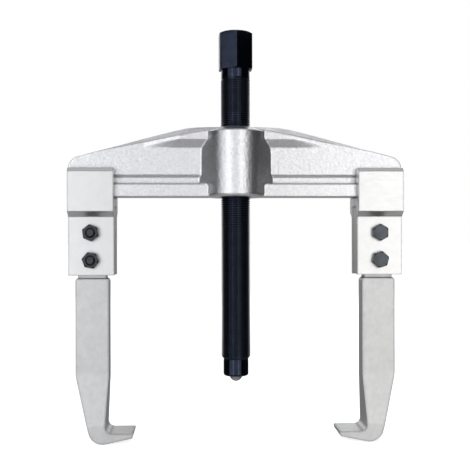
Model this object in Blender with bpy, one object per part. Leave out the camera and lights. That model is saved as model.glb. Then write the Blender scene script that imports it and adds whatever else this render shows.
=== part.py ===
"""Two-arm gear puller: a forged crossbeam, two arms that slide along it, and a pressure spindle.

Metres, +Z up, X along the crossbeam, -Y is the front. The origin is on the plane under
the hooks, on the spindle's axis. The right arm is the left one turned half round about Z.
"""

import math

import bmesh
import bpy
from mathutils import Matrix, Vector

# Clearances
FIT = 0.0003  # between pieces that touch or slide on each other
BOLT_PLAY = 0.0006  # on a bolt hole's diameter

# Spindle, from the top down
HEX_ACROSS_FLATS = 0.022
HEX_LENGTH = 0.0254
COLLAR_DIAMETER = 0.0196
COLLAR_LENGTH = 0.0060
THREAD_DIAMETER = 0.020
THREAD_LENGTH = 0.1908
POINT_DIAMETER = 0.0171
POINT_LENGTH = 0.0115
BALL_DIAMETER = 0.0088
BALL_SINK = 0.0005  # how far the ball's centre lies inside the point
TIP_HEIGHT = 0.0397  # lowest point of the ball over the plane under the hooks
HEX_TURN = math.radians(2)

# Legs
HOOK_GRIP_HEIGHT = 0.0072  # the gripping face over the plane under the hooks
LEG_WIDTH = 0.0223
LEG_THICKNESS = 0.012
HOOK_DEPTH = 0.0245
TAPER_TOP = 0.0445  # over the plane under the hooks
FLARE_END = 0.0125
HOOK_ROOT = 0.0088  # from the leg's centre line to its inner face at the hook
HEEL_ANGLE = math.radians(14)  # the outer edge's lean below the taper's top
HEEL_RADIUS = 0.0098
TOE_LENGTH = 0.0282  # from the leg's centre line
TOE_SLOPE = math.radians(11.5)
ROOT_RADIUS = 0.0045
NECK_WIDTH = 0.0188
NECK_THICKNESS = 0.0104
NECK_HEIGHT = 0.0020  # gap from the clamp to the shoulders
SHOULDER = 0.0016
LEG_EDGE = 0.0007

# Arms on the rail
REACH = 0.1579  # from the gripping face to the rail's underside
ARM_CENTRE = 0.0970  # from the spindle's axis, arms at rest
CLAMP_WIDTH = 0.0304
CLAMP_PLATE = 0.0037  # thickness beside the leg
CLAMP_WALL = 0.0057  # thickness beside the rail
CLAMP_DROP = 0.0526  # from the rail's underside to the clamp's lower edge
CLAMP_SHELF = 0.0060  # thickness of the shelf under the rail
STEP_DROP = 0.0099  # from the rail's underside to the outer step
STEP_HEIGHT = 0.0034
CLAMP_RISE = 0.0192  # from the rail's underside to the clamp's upper edge
CLAMP_BEVEL = 0.0024
CLAMP_EDGE = 0.0008

# Clamp bolts
BOLT_DIAMETER = 0.006
BOLT_ACROSS_FLATS = 0.010
BOLT_HEAD_HEIGHT = 0.0040
NUT_HEIGHT = 0.0050
BOLT_END = 0.0012  # how far the bolt stands out of its nut
BOLT_SPACING = 0.0183
LOWER_BOLT_RISE = 0.0102  # from the clamp's lower edge
BOLT_TURNS = {"left_upper": 8, "left_lower": 20, "right_upper": 0, "right_lower": 13}

# Crossbeam
BEAM_LENGTH = 0.2260
RAIL_DEPTH = 0.0186
RAIL_HEIGHT = 0.0088
GROOVE_HEIGHT = 0.0042
GROOVE_DEPTH = 0.0092  # thickness of metal left between the two grooves
GROOVE_SLANT = 0.0022  # height of the web's slanted lower edge
WEB_DEPTH = 0.0120
BEAM_HEIGHT = 0.0483
RIDGE_HALF_LENGTH = 0.032  # half of the level stretch of the beam's top
RIDGE_EASE = 0.008  # how softly the level stretch turns into the slopes
TOP_SLOPE = 0.268
END_RADIUS = 0.0062
FRONT_EDGE_RISE = 0.0005  # the roof's front edge over the ridge, carried on to the axis
FRONT_EDGE_SLOPE = 0.19
ROOF_DROP = 0.0008  # least fall of the roof from its ridge to its front edge
RIB_ROOT_DROP = 0.0152  # from the ridge to where the rib leaves the web
RIB_PROUD = 0.0034
RIB_UNDERSIDE = 0.0060  # height of the rib's slanted underside
RIB_START = 0.062  # from the spindle's axis
RIB_FULL = 0.038
RIB_CURVE = 0.6  # how quickly the underside gains its height along the beam
LEAST_UNDERSIDE = 0.0012
LEAST_FACE = 0.0040  # height of the front face above the rib, at the beam's ends
RIDGE_FLAT = 0.0008  # half of the flat along the ridge
BOSS_DIAMETER = 0.0416
BOSS_TOP_DROP = 0.0008  # from the ridge to the boss's flat top
BOSS_TOP_DIAMETER = 0.0244
BOSS_SHOULDER_DROP = 0.0041  # from the ridge to the top of the boss's round side
BOSS_CHAMFER = 0.0016
BOSS_ROOT = 0.0235  # from the spindle's axis to where the web's flat face ends
BOSS_ROOT_ROUND = 0.0130  # height over which the root draws in under the rib
RAIL_EDGE = 0.0006

# Fineness
BOSS_SIDES = 64
SPINDLE_SIDES = 40
BOLT_SIDES = 24
ARC_STEPS = 6

# Heights and places that follow from the sizes above
RAIL_Z = HOOK_GRIP_HEIGHT + REACH
RAIL_TOP_Z = RAIL_Z + RAIL_HEIGHT
RIDGE_Z = RAIL_Z + BEAM_HEIGHT
BOSS_TOP_Z = RIDGE_Z - BOSS_TOP_DROP
BOSS_SHOULDER_Z = RIDGE_Z - BOSS_SHOULDER_DROP
CLAMP_BOTTOM_Z = RAIL_Z - CLAMP_DROP
SHOULDER_Z = CLAMP_BOTTOM_Z - NECK_HEIGHT
BOLT_Z = {
    "lower": CLAMP_BOTTOM_Z + LOWER_BOLT_RISE,
    "upper": CLAMP_BOTTOM_Z + LOWER_BOLT_RISE + BOLT_SPACING,
}
PLATE_FACE = LEG_THICKNESS / 2 + FIT + CLAMP_PLATE  # outer face beside the leg
BLOCK_FACE = RAIL_DEPTH / 2 + FIT + CLAMP_WALL  # outer face beside the rail
BALL_Z = TIP_HEIGHT + BALL_DIAMETER / 2
POINT_Z = BALL_Z - BALL_SINK


# ---------------------------------------------------------------- shared helpers


def clear_scene():
    for obj in list(bpy.data.objects):
        bpy.data.objects.remove(obj, do_unlink=True)


def metal(name, colour, roughness, metallic=1.0):
    material = bpy.data.materials.new(name)
    material.use_nodes = True
    shader = material.node_tree.nodes["Principled BSDF"]
    shader.inputs["Base Color"].default_value = (*colour, 1.0)
    shader.inputs["Roughness"].default_value = roughness
    shader.inputs["Metallic"].default_value = metallic
    return material


def make_object(name, mesh, parent=None, matrix=None):
    obj = bpy.data.objects.new(name, mesh)
    bpy.context.scene.collection.objects.link(obj)
    obj.parent = parent
    if matrix is not None:
        obj.matrix_local = matrix
    return obj


def make_mesh(name, bm):
    bmesh.ops.recalc_face_normals(bm, faces=bm.faces)
    mesh = bpy.data.meshes.new(name)
    bm.to_mesh(mesh)
    bm.free()
    return mesh


def smooth(mesh, angle=30):
    mesh.shade_smooth()
    mesh.set_sharp_from_angle(angle=math.radians(angle))


def prism(name, outline, start, length, along):
    """A closed outline of (a, b) points pushed out along X, Y or Z from start. The outline
    lies in the YZ, XZ or XY plane."""
    place = {
        "X": lambda a, b: Vector((start, a, b)),
        "Y": lambda a, b: Vector((a, start, b)),
        "Z": lambda a, b: Vector((a, b, start)),
    }[along]
    push = {"X": Vector((length, 0, 0)), "Y": Vector((0, length, 0)), "Z": Vector((0, 0, length))}
    bm = bmesh.new()
    face = bm.faces.new([bm.verts.new(place(a, b)) for a, b in outline])
    pushed = bmesh.ops.extrude_face_region(bm, geom=[face])
    moved = [v for v in pushed["geom"] if isinstance(v, bmesh.types.BMVert)]
    bmesh.ops.translate(bm, verts=moved, vec=push[along])
    return make_mesh(name, bm)


def turned(name, profile, sides, phase=0.0):
    """A solid turned about Z from (radius, z) points, listed from the bottom to the top.
    A radius of 0 closes an end in a point."""
    bm = bmesh.new()
    rings = []
    for radius, z in profile:
        if radius == 0:
            rings.append([bm.verts.new((0, 0, z))])
            continue
        angles = [phase + 2 * math.pi * i / sides for i in range(sides)]
        rings.append([bm.verts.new((radius * math.cos(a), radius * math.sin(a), z)) for a in angles])
    for low, high in zip(rings, rings[1:]):
        for i in range(sides):
            corners = [low[i % len(low)], low[(i + 1) % len(low)]]
            corners += [high[(i + 1) % len(high)], high[i % len(high)]]
            bm.faces.new(list(dict.fromkeys(corners)))
    for ring in (rings[0], rings[-1]):
        if len(ring) > 1:
            bm.faces.new(ring)
    return make_mesh(name, bm)


def loft(bm, rings):
    """Faces between closed rings of as many points each, and over the first and the last."""
    for low, high in zip(rings, rings[1:]):
        for i in range(len(low)):
            j = (i + 1) % len(low)
            bm.faces.new((low[i], low[j], high[j], high[i]))
    bm.faces.new(rings[0])
    bm.faces.new(rings[-1])


def cylinder(name, radius, low, high, sides):
    return turned(name, [(radius, low), (radius, high)], sides)


def rounded(corners):
    """An outline from (x, z, radius) corners, with an arc of that radius at each corner."""
    outline = []
    for i, (x, z, radius) in enumerate(corners):
        corner = Vector((x, z))
        if radius == 0:
            outline.append(corner)
            continue
        before = (Vector(corners[i - 1][:2]) - corner).normalized()
        after = (Vector(corners[(i + 1) % len(corners)][:2]) - corner).normalized()
        half = before.angle(after) / 2
        centre = corner + (before + after).normalized() * radius / math.sin(half)
        first = corner + before * radius / math.tan(half) - centre
        last = corner + after * radius / math.tan(half) - centre
        sweep = first.angle_signed(last)
        for step in range(ARC_STEPS + 1):
            outline.append(centre + Matrix.Rotation(-sweep * step / ARC_STEPS, 2) @ first)
    return outline


def helper(name, mesh):
    """A shape that only cuts or joins, and isn't a part of its own."""
    obj = make_object(name, mesh)
    obj.hide_render = True
    obj.display_type = "WIRE"
    return obj


def combined(name, mesh, steps, bevel=0.0, segments=2):
    """The mesh after Booleans with each (operation, mesh) step, then a bevel on its sharp edges."""
    base = make_object(name, mesh)
    helpers = []
    for operation, other in steps:
        tool = helper(other.name, other)
        helpers.append(tool)
        modifier = base.modifiers.new(operation.title(), "BOOLEAN")
        modifier.operation = operation
        modifier.solver = "EXACT"
        modifier.object = tool
    if bevel:
        modifier = base.modifiers.new("Edges", "BEVEL")
        modifier.width = bevel
        modifier.segments = segments
        modifier.limit_method = "ANGLE"
        modifier.angle_limit = math.radians(35)
    graph = bpy.context.evaluated_depsgraph_get()
    result = bpy.data.meshes.new_from_object(base.evaluated_get(graph))
    result.name = name
    for obj in [base, *helpers]:
        bpy.data.objects.remove(obj, do_unlink=True)
    smooth(result)
    return result


# ---------------------------------------------------------------- crossbeam


def blend(value):
    return min(max(value, 0.0), 1.0)


def ridge_z(x):
    """Height of the beam's top edge at a distance x from the middle, with its rounded ends."""
    past = x - RIDGE_HALF_LENGTH
    straight = RIDGE_Z - TOP_SLOPE * (past + math.hypot(past, RIDGE_EASE)) / 2
    inside = max(END_RADIUS - (BEAM_LENGTH / 2 - x), 0.0)
    return straight - (END_RADIUS - math.sqrt(END_RADIUS**2 - min(inside, END_RADIUS) ** 2))


def beam_section(x):
    """The front half of the beam's section at x, as (y, z) points from the underside to the ridge."""
    out = abs(x)
    rail, groove, web = RAIL_DEPTH / 2, GROOVE_DEPTH / 2, WEB_DEPTH / 2
    groove_top = RAIL_TOP_Z + GROOVE_HEIGHT
    front_z = min(RIDGE_Z + FRONT_EDGE_RISE - FRONT_EDGE_SLOPE * out, ridge_z(out) - ROOF_DROP)
    rib = blend((RIB_START - out) / (RIB_START - RIB_FULL))
    face = web + RIB_PROUD * rib
    rib_z = min(RIDGE_Z - RIB_ROOT_DROP, front_z - LEAST_FACE)
    return [
        (-(rail - RAIL_EDGE), RAIL_Z),
        (-rail, RAIL_Z + RAIL_EDGE),
        (-rail, RAIL_TOP_Z - RAIL_EDGE),
        (-(rail - RAIL_EDGE), RAIL_TOP_Z),
        (-groove, RAIL_TOP_Z),
        (-groove, groove_top),
        (-web, groove_top + GROOVE_SLANT),
        (-web, rib_z),
        (-face, rib_z + max(LEAST_UNDERSIDE, RIB_UNDERSIDE * rib**RIB_CURVE)),
        (-face, front_z),
        (-RIDGE_FLAT, ridge_z(out)),
    ]


def beam_body():
    """The rail, web and rib, lofted through sections along X."""
    half = BEAM_LENGTH / 2
    # where the roof's front edge comes as near to the sloping ridge as it gets
    meeting = TOP_SLOPE * RIDGE_HALF_LENGTH - ROOF_DROP - FRONT_EDGE_RISE
    meeting /= TOP_SLOPE - FRONT_EDGE_SLOPE
    bends = [0.0, meeting, *(RIDGE_HALF_LENGTH * part for part in (0.25, 0.6, 0.85, 1.0))]
    bends += [RIB_START + (RIB_FULL - RIB_START) * part for part in (0.0, 0.2, 0.5, 1.0)]
    corner = [half - END_RADIUS * (1 - math.sin(math.pi / 2 * i / 4)) for i in range(5)]
    stations = sorted({-x for x in bends + corner} | set(bends + corner))
    bm = bmesh.new()
    rings = []
    for x in stations:
        front = beam_section(x)
        rear = [(-y, z) for y, z in reversed(front)]
        rings.append([bm.verts.new((x, y, z)) for y, z in front + rear])
    loft(bm, rings)
    return make_mesh("beam_body", bm)


def root_outline(reach):
    """The plan of the boss with flat walls that leave the web this far out and touch its round side."""
    radius, web = BOSS_DIAMETER / 2 - FIT, WEB_DEPTH / 2
    touch = math.atan2(web, reach) + math.acos(radius / math.hypot(reach, web))
    # the wall is carried on into the web
    quarter = [(reach + web / 2 * math.tan(touch), web / 2)]
    for step in range(ARC_STEPS + 1):
        turn = touch + (math.pi / 2 - touch) * step / ARC_STEPS
        quarter.append((radius * math.cos(turn), radius * math.sin(turn)))
    top = quarter + [(-x, y) for x, y in reversed(quarter[:-1])]
    return top + [(x, -y) for x, y in reversed(top)]


def boss_root():
    """The boss's root on the web. It draws in to the boss's side as it rises under the rib."""
    high = RIDGE_Z - RIB_ROOT_DROP + RIB_UNDERSIDE + FIT
    start = high - BOSS_ROOT_ROUND
    draw = BOSS_ROOT - BOSS_DIAMETER / 2 - FIT
    levels = [(RAIL_TOP_Z - FIT, BOSS_ROOT)]
    for step in range(ARC_STEPS + 1):
        turn = math.pi / 2 * step / ARC_STEPS
        levels.append((start + BOSS_ROOT_ROUND * math.sin(turn), BOSS_ROOT - draw * (1 - math.cos(turn))))
    levels.append((BOSS_SHOULDER_Z - FIT, BOSS_ROOT - draw))
    bm = bmesh.new()
    loft(bm, [[bm.verts.new((x, y, z)) for x, y in root_outline(reach)] for z, reach in levels])
    return make_mesh("boss_root", bm)


def boss():
    radius = BOSS_DIAMETER / 2
    profile = [(radius - BOSS_CHAMFER, RAIL_Z), (radius, RAIL_Z + BOSS_CHAMFER)]
    profile += [(radius, BOSS_SHOULDER_Z), (BOSS_TOP_DIAMETER / 2, BOSS_TOP_Z)]
    return turned("boss", profile, BOSS_SIDES)


def make_crossbeam(material):
    margin = 0.005  # the bore's tool is longer than the beam is high
    bore_radius = THREAD_DIAMETER / 2 + FIT
    bore = cylinder("bore", bore_radius, RAIL_Z - margin, BOSS_TOP_Z + margin, SPINDLE_SIDES)
    steps = [("UNION", boss_root()), ("UNION", boss()), ("DIFFERENCE", bore)]
    mesh = combined("crossbeam", beam_body(), steps)
    mesh.materials.append(material)
    make_object("crossbeam", mesh)


# ---------------------------------------------------------------- spindle


def make_spindle(material, ball_material):
    """The spindle on its axis, and its ball. The thread is a plain cylinder of its outer diameter."""
    chamfer = 0.0016
    thread_low = POINT_Z + POINT_LENGTH
    thread_high = thread_low + THREAD_LENGTH
    hex_low = thread_high + COLLAR_LENGTH
    hex_high = hex_low + HEX_LENGTH
    point, thread, collar = POINT_DIAMETER / 2, THREAD_DIAMETER / 2, COLLAR_DIAMETER / 2
    profile = [(point - chamfer, POINT_Z)]
    for step in range(1, 4):
        turn = math.pi / 2 * step / 3
        rise = 1 - math.cos(turn)
        profile.append((point - chamfer + chamfer * math.sin(turn), POINT_Z + chamfer * rise))
    profile += [(point, thread_low - chamfer / 2), (thread - chamfer / 2, thread_low)]
    profile += [(thread, thread_low + chamfer / 2), (thread, thread_high - chamfer / 4)]
    profile += [(collar, thread_high), (collar, hex_low + 0.001)]
    shaft = turned("spindle_shaft", profile, SPINDLE_SIDES)

    flat, corner = HEX_ACROSS_FLATS / 2, HEX_ACROSS_FLATS / 2 / math.cos(math.pi / 6)
    head = turned("spindle_head", [(corner, hex_low), (corner, hex_high)], 6, HEX_TURN - math.pi / 2)
    cone = corner - flat + 0.0004
    crown = [(corner + 0.001 - 0.0022, hex_low - 0.0006), (corner + 0.0006, hex_low + 0.0012)]
    crown += [(corner + 0.0006, hex_high - cone * 0.75), (corner, hex_high - cone * 0.5)]
    crown += [(flat - 0.0008, hex_high), (flat - 0.002, hex_high + 0.0004)]
    head_limit = turned("head_limit", crown, SPINDLE_SIDES)

    ball = BALL_DIAMETER / 2
    socket = turned("socket", ball_profile(ball + FIT, BALL_Z), BOLT_SIDES)
    steps = [("INTERSECT", head_limit), ("UNION", shaft), ("DIFFERENCE", socket)]
    mesh = combined("spindle", head, steps)
    mesh.materials.append(material)
    make_object("spindle", mesh)

    ball_mesh = turned("pressure_ball", ball_profile(ball, 0.0), BOLT_SIDES)
    smooth(ball_mesh)
    ball_mesh.materials.append(ball_material)
    make_object("pressure_ball", ball_mesh, matrix=Matrix.Translation((0, 0, BALL_Z)))


def ball_profile(radius, centre_z):
    """A sphere's profile from its lowest point to its highest."""
    steps = BOLT_SIDES // 2
    turns = [math.pi * i / steps for i in range(1, steps)]
    middle = [(radius * math.sin(t), centre_z - radius * math.cos(t)) for t in turns]
    return [(0, centre_z - radius), *middle, (0, centre_z + radius)]


# ---------------------------------------------------------------- arms


def leg_outline():
    """The leg from the front, about its own centre line: +X is the side of the toe."""
    half, neck = LEG_WIDTH / 2, NECK_WIDTH / 2
    head = CLAMP_WIDTH / 2 - 0.0002
    head_top = RAIL_Z - FIT - CLAMP_SHELF - FIT
    head_bottom = CLAMP_BOTTOM_Z + 0.0006
    # the heel's arc touches the plane under the hooks, so its corner lies a little below it
    lean, slope = HEEL_ANGLE, TOE_SLOPE
    heel_x = -half + (TAPER_TOP - HEEL_RADIUS) * math.tan(lean) + HEEL_RADIUS / math.cos(lean)
    toe_z = (TOE_LENGTH - heel_x) * math.tan(slope) - HEEL_RADIUS * (1 / math.cos(slope) - 1)
    run = TAPER_TOP + HEEL_RADIUS * (1 / math.cos(slope) - 1) + (heel_x + half) * math.tan(slope)
    corner_x = -half + run * math.tan(lean) / (1 + math.tan(lean) * math.tan(slope))
    corner_z = (corner_x - heel_x) * math.tan(slope) - HEEL_RADIUS * (1 / math.cos(slope) - 1)
    return rounded(
        [
            (-half, SHOULDER_Z - SHOULDER, 0),
            (-half, TAPER_TOP, 0.020),
            (corner_x, corner_z, HEEL_RADIUS),
            (TOE_LENGTH - 0.0008, toe_z, 0.0010),
            (TOE_LENGTH, HOOK_GRIP_HEIGHT, 0.0006),
            (HOOK_ROOT, HOOK_GRIP_HEIGHT, ROOT_RADIUS),
            (half, TAPER_TOP, 0.020),
            (half, SHOULDER_Z - SHOULDER, 0),
            (neck, SHOULDER_Z, 0),
            (neck, head_bottom, 0),
            (head, head_bottom, 0),
            (head, head_top, 0),
            (-head, head_top, 0),
            (-head, head_bottom, 0),
            (-neck, head_bottom, 0),
            (-neck, SHOULDER_Z, 0),
        ]
    )


def leg_side_outline():
    """The leg from the side: thin above, spreading to the hook's full depth below."""
    leg, neck, hook = LEG_THICKNESS / 2, NECK_THICKNESS / 2, HOOK_DEPTH / 2
    margin = 0.002
    half = [
        (hook, -margin),
        (hook, FLARE_END),
        (leg, TAPER_TOP),
        (leg, SHOULDER_Z - (leg - neck)),
        (neck, SHOULDER_Z),
        (neck, CLAMP_BOTTOM_Z + 0.0003),
        (leg, CLAMP_BOTTOM_Z + 0.0010),
        (leg, RAIL_Z + margin),
    ]
    return half + [(-y, z) for y, z in reversed(half)]


def bolt_hole(name, z):
    radius = (BOLT_DIAMETER + BOLT_PLAY) / 2
    mesh = cylinder(name, radius, -0.03, 0.03, BOLT_SIDES)
    mesh.transform(Matrix.Translation((0, 0, z)) @ Matrix.Rotation(math.pi / 2, 4, "X"))
    return mesh


def leg_mesh():
    front = prism("leg_front", leg_outline(), -HOOK_DEPTH / 2, HOOK_DEPTH, "Y")
    reach_out = CLAMP_WIDTH + TOE_LENGTH
    side = prism("leg_side", leg_side_outline(), -reach_out, 2 * reach_out, "X")
    holes = [("DIFFERENCE", bolt_hole(f"leg_hole_{row}", z)) for row, z in BOLT_Z.items()]
    return combined("leg", front, [("INTERSECT", side), *holes], LEG_EDGE)


def clamp_outline():
    """The section of the half in front of the leg, as (y, z) points."""
    plate_inside, wall_inside = LEG_THICKNESS / 2 + FIT, RAIL_DEPTH / 2 + FIT
    groove, web = GROOVE_DEPTH / 2 + FIT, WEB_DEPTH / 2 + FIT
    top = RAIL_Z + CLAMP_RISE
    groove_top = RAIL_TOP_Z + GROOVE_HEIGHT - FIT
    shelf_top = RAIL_Z - FIT
    return [
        (-PLATE_FACE, CLAMP_BOTTOM_Z),
        (-PLATE_FACE, RAIL_Z - STEP_DROP - STEP_HEIGHT),
        (-BLOCK_FACE, RAIL_Z - STEP_DROP),
        (-BLOCK_FACE, top - CLAMP_BEVEL),
        (-BLOCK_FACE + CLAMP_BEVEL, top),
        (-web, top),
        (-web, groove_top + GROOVE_SLANT),
        (-groove, groove_top),
        (-groove, RAIL_TOP_Z + FIT),
        (-wall_inside, RAIL_TOP_Z + FIT),
        (-wall_inside, shelf_top),
        (-FIT, shelf_top),
        (-FIT, shelf_top - CLAMP_SHELF),
        (-plate_inside, shelf_top - CLAMP_SHELF),
        (-plate_inside, CLAMP_BOTTOM_Z),
    ]


def clamp_mesh():
    body = prism("clamp_body", clamp_outline(), -CLAMP_WIDTH / 2, CLAMP_WIDTH, "X")
    holes = [("DIFFERENCE", bolt_hole(f"clamp_hole_{row}", z)) for row, z in BOLT_Z.items()]
    return combined("clamp_half", body, holes, CLAMP_EDGE, 1)


def hexagon(name, across_flats, low, high, chamfered):
    """A hexagon prism with its corners turned off at the chamfered ends."""
    corner, flat = across_flats / 2 / math.cos(math.pi / 6), across_flats / 2
    body = turned(name, [(corner, low), (corner, high)], 6)
    cut = corner - flat * 0.97
    limit = [(corner * 1.02, low), (corner * 1.02, high)]
    if "low" in chamfered:
        limit[:1] = [(flat * 0.97, low), (corner * 1.02, low + cut * 0.6)]
    if "high" in chamfered:
        limit[-1:] = [(corner * 1.02, high - cut * 0.6), (flat * 0.97, high)]
    return body, turned(name + "_limit", limit, BOLT_SIDES)


def bolt_mesh():
    """A bolt along Z, its head's seat at 0 and its shank above."""
    grip = 2 * PLATE_FACE + 2 * FIT
    head, limit = hexagon("bolt_head", BOLT_ACROSS_FLATS, -BOLT_HEAD_HEIGHT, 0.0, ("low",))
    radius, end = BOLT_DIAMETER / 2, grip + NUT_HEIGHT + BOLT_END
    profile = [(radius, -0.001), (radius, end - 0.0007), (radius - 0.0007, end)]
    shank = turned("bolt_shank", profile, BOLT_SIDES)
    return combined("bolt", head, [("INTERSECT", limit), ("UNION", shank)])


def nut_mesh():
    """A nut along Z, its seat at 0."""
    body, limit = hexagon("nut_body", BOLT_ACROSS_FLATS, 0.0, NUT_HEIGHT, ("low", "high"))
    hole = cylinder("nut_hole", BOLT_DIAMETER / 2 + FIT, -0.001, NUT_HEIGHT + 0.001, BOLT_SIDES)
    return combined("nut", body, [("INTERSECT", limit), ("DIFFERENCE", hole)])


def make_arm(side, meshes):
    """One arm under an empty on its slide: two clamp halves, the leg, and two bolts with nuts.
    In the arm's own frame its nuts are in front and its toe points along +X."""
    at_left = side == "left"
    arm = bpy.data.objects.new(f"{side}_arm", None)
    bpy.context.scene.collection.objects.link(arm)
    arm.location = (-ARM_CENTRE if at_left else ARM_CENTRE, 0, 0)
    arm.rotation_euler = (0, 0, 0 if at_left else math.pi)

    make_object(f"{side}_leg", meshes["leg"], arm)
    near, far = ("front", "rear") if at_left else ("rear", "front")
    make_object(f"{side}_{near}_clamp", meshes["clamp"], arm)
    make_object(f"{side}_{far}_clamp", meshes["clamp"], arm, Matrix.Rotation(math.pi, 4, "Z"))

    along = Matrix.Rotation(math.pi / 2, 4, "X")  # a bolt's +Z to the arm's -Y
    seat = PLATE_FACE + FIT
    for row, z in BOLT_Z.items():
        name = f"{side}_{row}"
        turn = Matrix.Rotation(math.radians(30 + BOLT_TURNS[name]), 4, "Z")
        rear = Matrix.Translation((0, seat, z)) @ along @ turn
        front = Matrix.Translation((0, -seat, z)) @ along @ turn
        make_object(f"{name}_bolt", meshes["bolt"], arm, rear)
        make_object(f"{name}_nut", meshes["nut"], arm, front)


def make_arms(materials):
    meshes = {
        "leg": leg_mesh(),
        "clamp": clamp_mesh(),
        "bolt": bolt_mesh(),
        "nut": nut_mesh(),
    }
    for name, mesh in meshes.items():
        mesh.materials.append(materials[name])
    for side in ("left", "right"):
        make_arm(side, meshes)


def main():
    clear_scene()
    make_crossbeam(metal("forged_steel", (0.68, 0.68, 0.70), 0.42))
    black = metal("black_oxide", (0.02, 0.022, 0.028), 0.35, 0.6)
    make_spindle(black, metal("ball_steel", (0.30, 0.31, 0.33), 0.25))
    make_arms(
        {
            "leg": metal("satin_leg_steel", (0.60, 0.60, 0.61), 0.45),
            "clamp": metal("satin_clamp_steel", (0.74, 0.73, 0.73), 0.40),
            "bolt": metal("bolt_gunmetal", (0.07, 0.08, 0.09), 0.40, 0.8),
            "nut": metal("nut_gunmetal", (0.05, 0.055, 0.065), 0.40, 0.8),
        }
    )


main()
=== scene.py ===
"""The looks of the two-arm gear puller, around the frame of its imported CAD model.

Metres, +Z up, X along the crossbeam, -Y is the front. Every piece takes its place from the
CAD node that it stands for, and adds the edges, fillets, threads and finish of the real one.
"""

import math

import bmesh
import bpy
from mathutils import Matrix, Vector, noise


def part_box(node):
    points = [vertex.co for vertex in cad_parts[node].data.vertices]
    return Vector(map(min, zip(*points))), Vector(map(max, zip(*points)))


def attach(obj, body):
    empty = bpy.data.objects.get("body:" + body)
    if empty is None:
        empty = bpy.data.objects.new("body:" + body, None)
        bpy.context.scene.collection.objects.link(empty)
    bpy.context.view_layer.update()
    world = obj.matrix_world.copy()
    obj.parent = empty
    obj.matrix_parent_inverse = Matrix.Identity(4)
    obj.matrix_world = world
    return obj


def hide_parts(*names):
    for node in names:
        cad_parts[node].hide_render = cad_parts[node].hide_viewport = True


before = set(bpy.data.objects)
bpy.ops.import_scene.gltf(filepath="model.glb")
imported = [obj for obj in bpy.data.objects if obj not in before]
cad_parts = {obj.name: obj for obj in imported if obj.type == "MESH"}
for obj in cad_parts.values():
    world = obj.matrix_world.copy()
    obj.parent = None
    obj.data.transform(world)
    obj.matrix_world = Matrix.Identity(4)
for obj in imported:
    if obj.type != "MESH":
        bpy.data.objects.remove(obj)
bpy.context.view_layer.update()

MM = 0.001
SCENE = bpy.context.scene

# ---------------------------------------------------------------- places, from the frame

BEAM_LOW, BEAM_HIGH = (Vector(corner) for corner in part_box("crossbeam"))
SPINDLE_LOW, SPINDLE_HIGH = (Vector(corner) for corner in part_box("spindle"))
BALL_LOW, BALL_HIGH = (Vector(corner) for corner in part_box("pressure_ball"))
CLAMP_LOW, CLAMP_HIGH = (Vector(corner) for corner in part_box("left_front_clamp"))
LEG_LOW, LEG_HIGH = (Vector(corner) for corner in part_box("left_leg"))

RAIL_Z = BEAM_LOW.z
HALF_BEAM = BEAM_HIGH.x
BOSS_RADIUS = BEAM_HIGH.y
ARM_X = -(CLAMP_LOW.x + CLAMP_HIGH.x) / 2
CLAMP_WIDTH = CLAMP_HIGH.x - CLAMP_LOW.x
CLAMP_BOTTOM_Z = CLAMP_LOW.z
CLAMP_TOP_Z = CLAMP_HIGH.z
BLOCK_FACE = -CLAMP_LOW.y
TOE_LENGTH = LEG_HIGH.x + ARM_X
HOOK_DEPTH = LEG_HIGH.y - LEG_LOW.y

# ---------------------------------------------------------------- sizes of the finer shapes

FIT = 0.3 * MM
ROUND_SIDES = 96

RAIL_HALF_DEPTH = 9.3 * MM
RAIL_HEIGHT = 8.8 * MM
GROOVE_HALF_DEPTH = 4.6 * MM
GROOVE_HEIGHT = 4.2 * MM
GROOVE_SLANT = 2.2 * MM
WEB_HALF_DEPTH = 6.0 * MM
RIDGE_RISE = 48.3 * MM
RIDGE_HALF_FLAT = 0.8 * MM
RIDGE_HALF_LENGTH = 32 * MM
RIDGE_EASE = 8 * MM
TOP_SLOPE = 0.268
END_RADIUS = 6.2 * MM
FRONT_EDGE_RISE = 0.5 * MM
FRONT_EDGE_SLOPE = 0.19
ROOF_DROP = 0.8 * MM
RIB_ROOT_DROP = 15.2 * MM
RIB_PROUD = 3.4 * MM
RIB_LEAST_FACE = 4 * MM
RIB_UNDERSIDE = 6.0 * MM
RIB_LEAST_UNDERSIDE = 1.2 * MM
RIB_CURVE = 0.6
RIB_START = 62 * MM
RIB_FULL = 38 * MM
BOSS_TOP_DROP = 0.8 * MM
BOSS_TOP_RADIUS = 12.2 * MM
BOSS_SHOULDER_DROP = 4.1 * MM
BOSS_CHAMFER = 1.6 * MM
BOSS_ROOT = 23.5 * MM
BOSS_ROOT_ROUND = 13 * MM
BOSS_ROOT_INSET = 0.05 * MM
BORE_CHAMFER = 0.8 * MM
FORGING_VOXEL = 0.5 * MM
FORGING_ROUNDS = 4

THREAD_RADIUS = 10 * MM
THREAD_PITCH = 1.5 * MM
THREAD_COLUMNS = 60
THREAD_DEPTH_PER_PITCH = 0.613
COLLAR_RADIUS = 9.8 * MM
COLLAR_LENGTH = 6.0 * MM
HEX_ACROSS_FLATS = 22 * MM
HEX_LENGTH = 25.4 * MM
HEX_TURN = math.radians(2)
POINT_RADIUS = 8.55 * MM
POINT_LENGTH = 11.5 * MM
POINT_ROUND = 1.6 * MM
POINT_RIM = 0.7 * MM
BALL_SIDES = 56
BALL_RINGS = 40

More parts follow.
